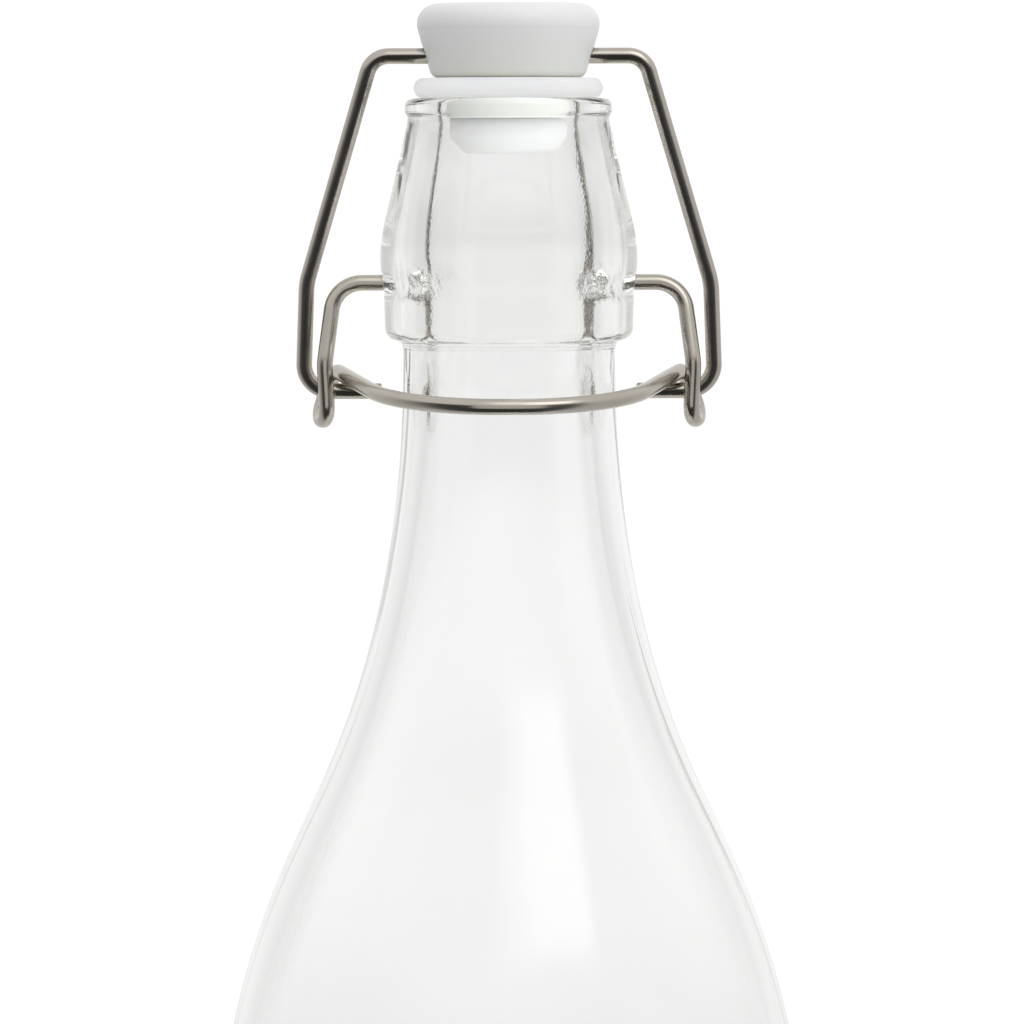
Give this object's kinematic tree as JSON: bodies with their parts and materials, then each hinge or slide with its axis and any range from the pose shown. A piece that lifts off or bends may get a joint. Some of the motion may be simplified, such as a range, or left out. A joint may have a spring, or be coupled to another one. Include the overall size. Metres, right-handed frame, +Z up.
{
  "type": "swing-top growler",
  "caption": "Clear-glass bottle with a barrel-shaped collar, closed by a white stopper with a silicone gasket on a hinged bail and lever of bent steel wire.",
  "frame": {"origin": "centre of the base, on the plane that the bottle stands on", "axes": "+Z up the bottle, +X along the pivots of the closure, -Y the front, where the handle lies when closed"},
  "size_m": [0.085, 0.085, 0.331],
  "materials": {
    "clear_glass": "clear, fire-polished",
    "white_plastic": "satin moulded",
    "silicone": "translucent, soft matte",
    "wire_steel": "drawn stainless wire, satin"
  },
  "bodies": {
    "bottle": {"bottle": "clear_glass"},
    "lever": {"lever_wire": "wire_steel"},
    "bail": {"bail_wire": "wire_steel"},
    "stopper": {"stopper": "white_plastic", "gasket": "silicone"}
  },
  "joints": [
    {"name": "lever_pivot", "type": "hinge", "parent": "bottle", "child": "lever", "pos_m": [0, 0, 0.2927], "axis": [-1, 0, 0], "range_deg": [0, 165]},
    {"name": "bail_pivot", "type": "hinge", "parent": "lever", "child": "bail", "pos_m": [0, 0, 0.2778], "axis": [-1, 0, 0], "range_deg": [-118, 0]},
    {"name": "stopper_swivel", "type": "hinge", "parent": "bail", "child": "stopper", "pos_m": [0, 0, 0.3238], "axis": [-1, 0, 0], "range_deg": [-48, 0]}
  ],
  "couplings": [
    {"joint": "bail_pivot", "follows": "lever_pivot", "ratio": -0.71},
    {"joint": "stopper_swivel", "follows": "lever_pivot", "ratio": -0.29}
  ]
}
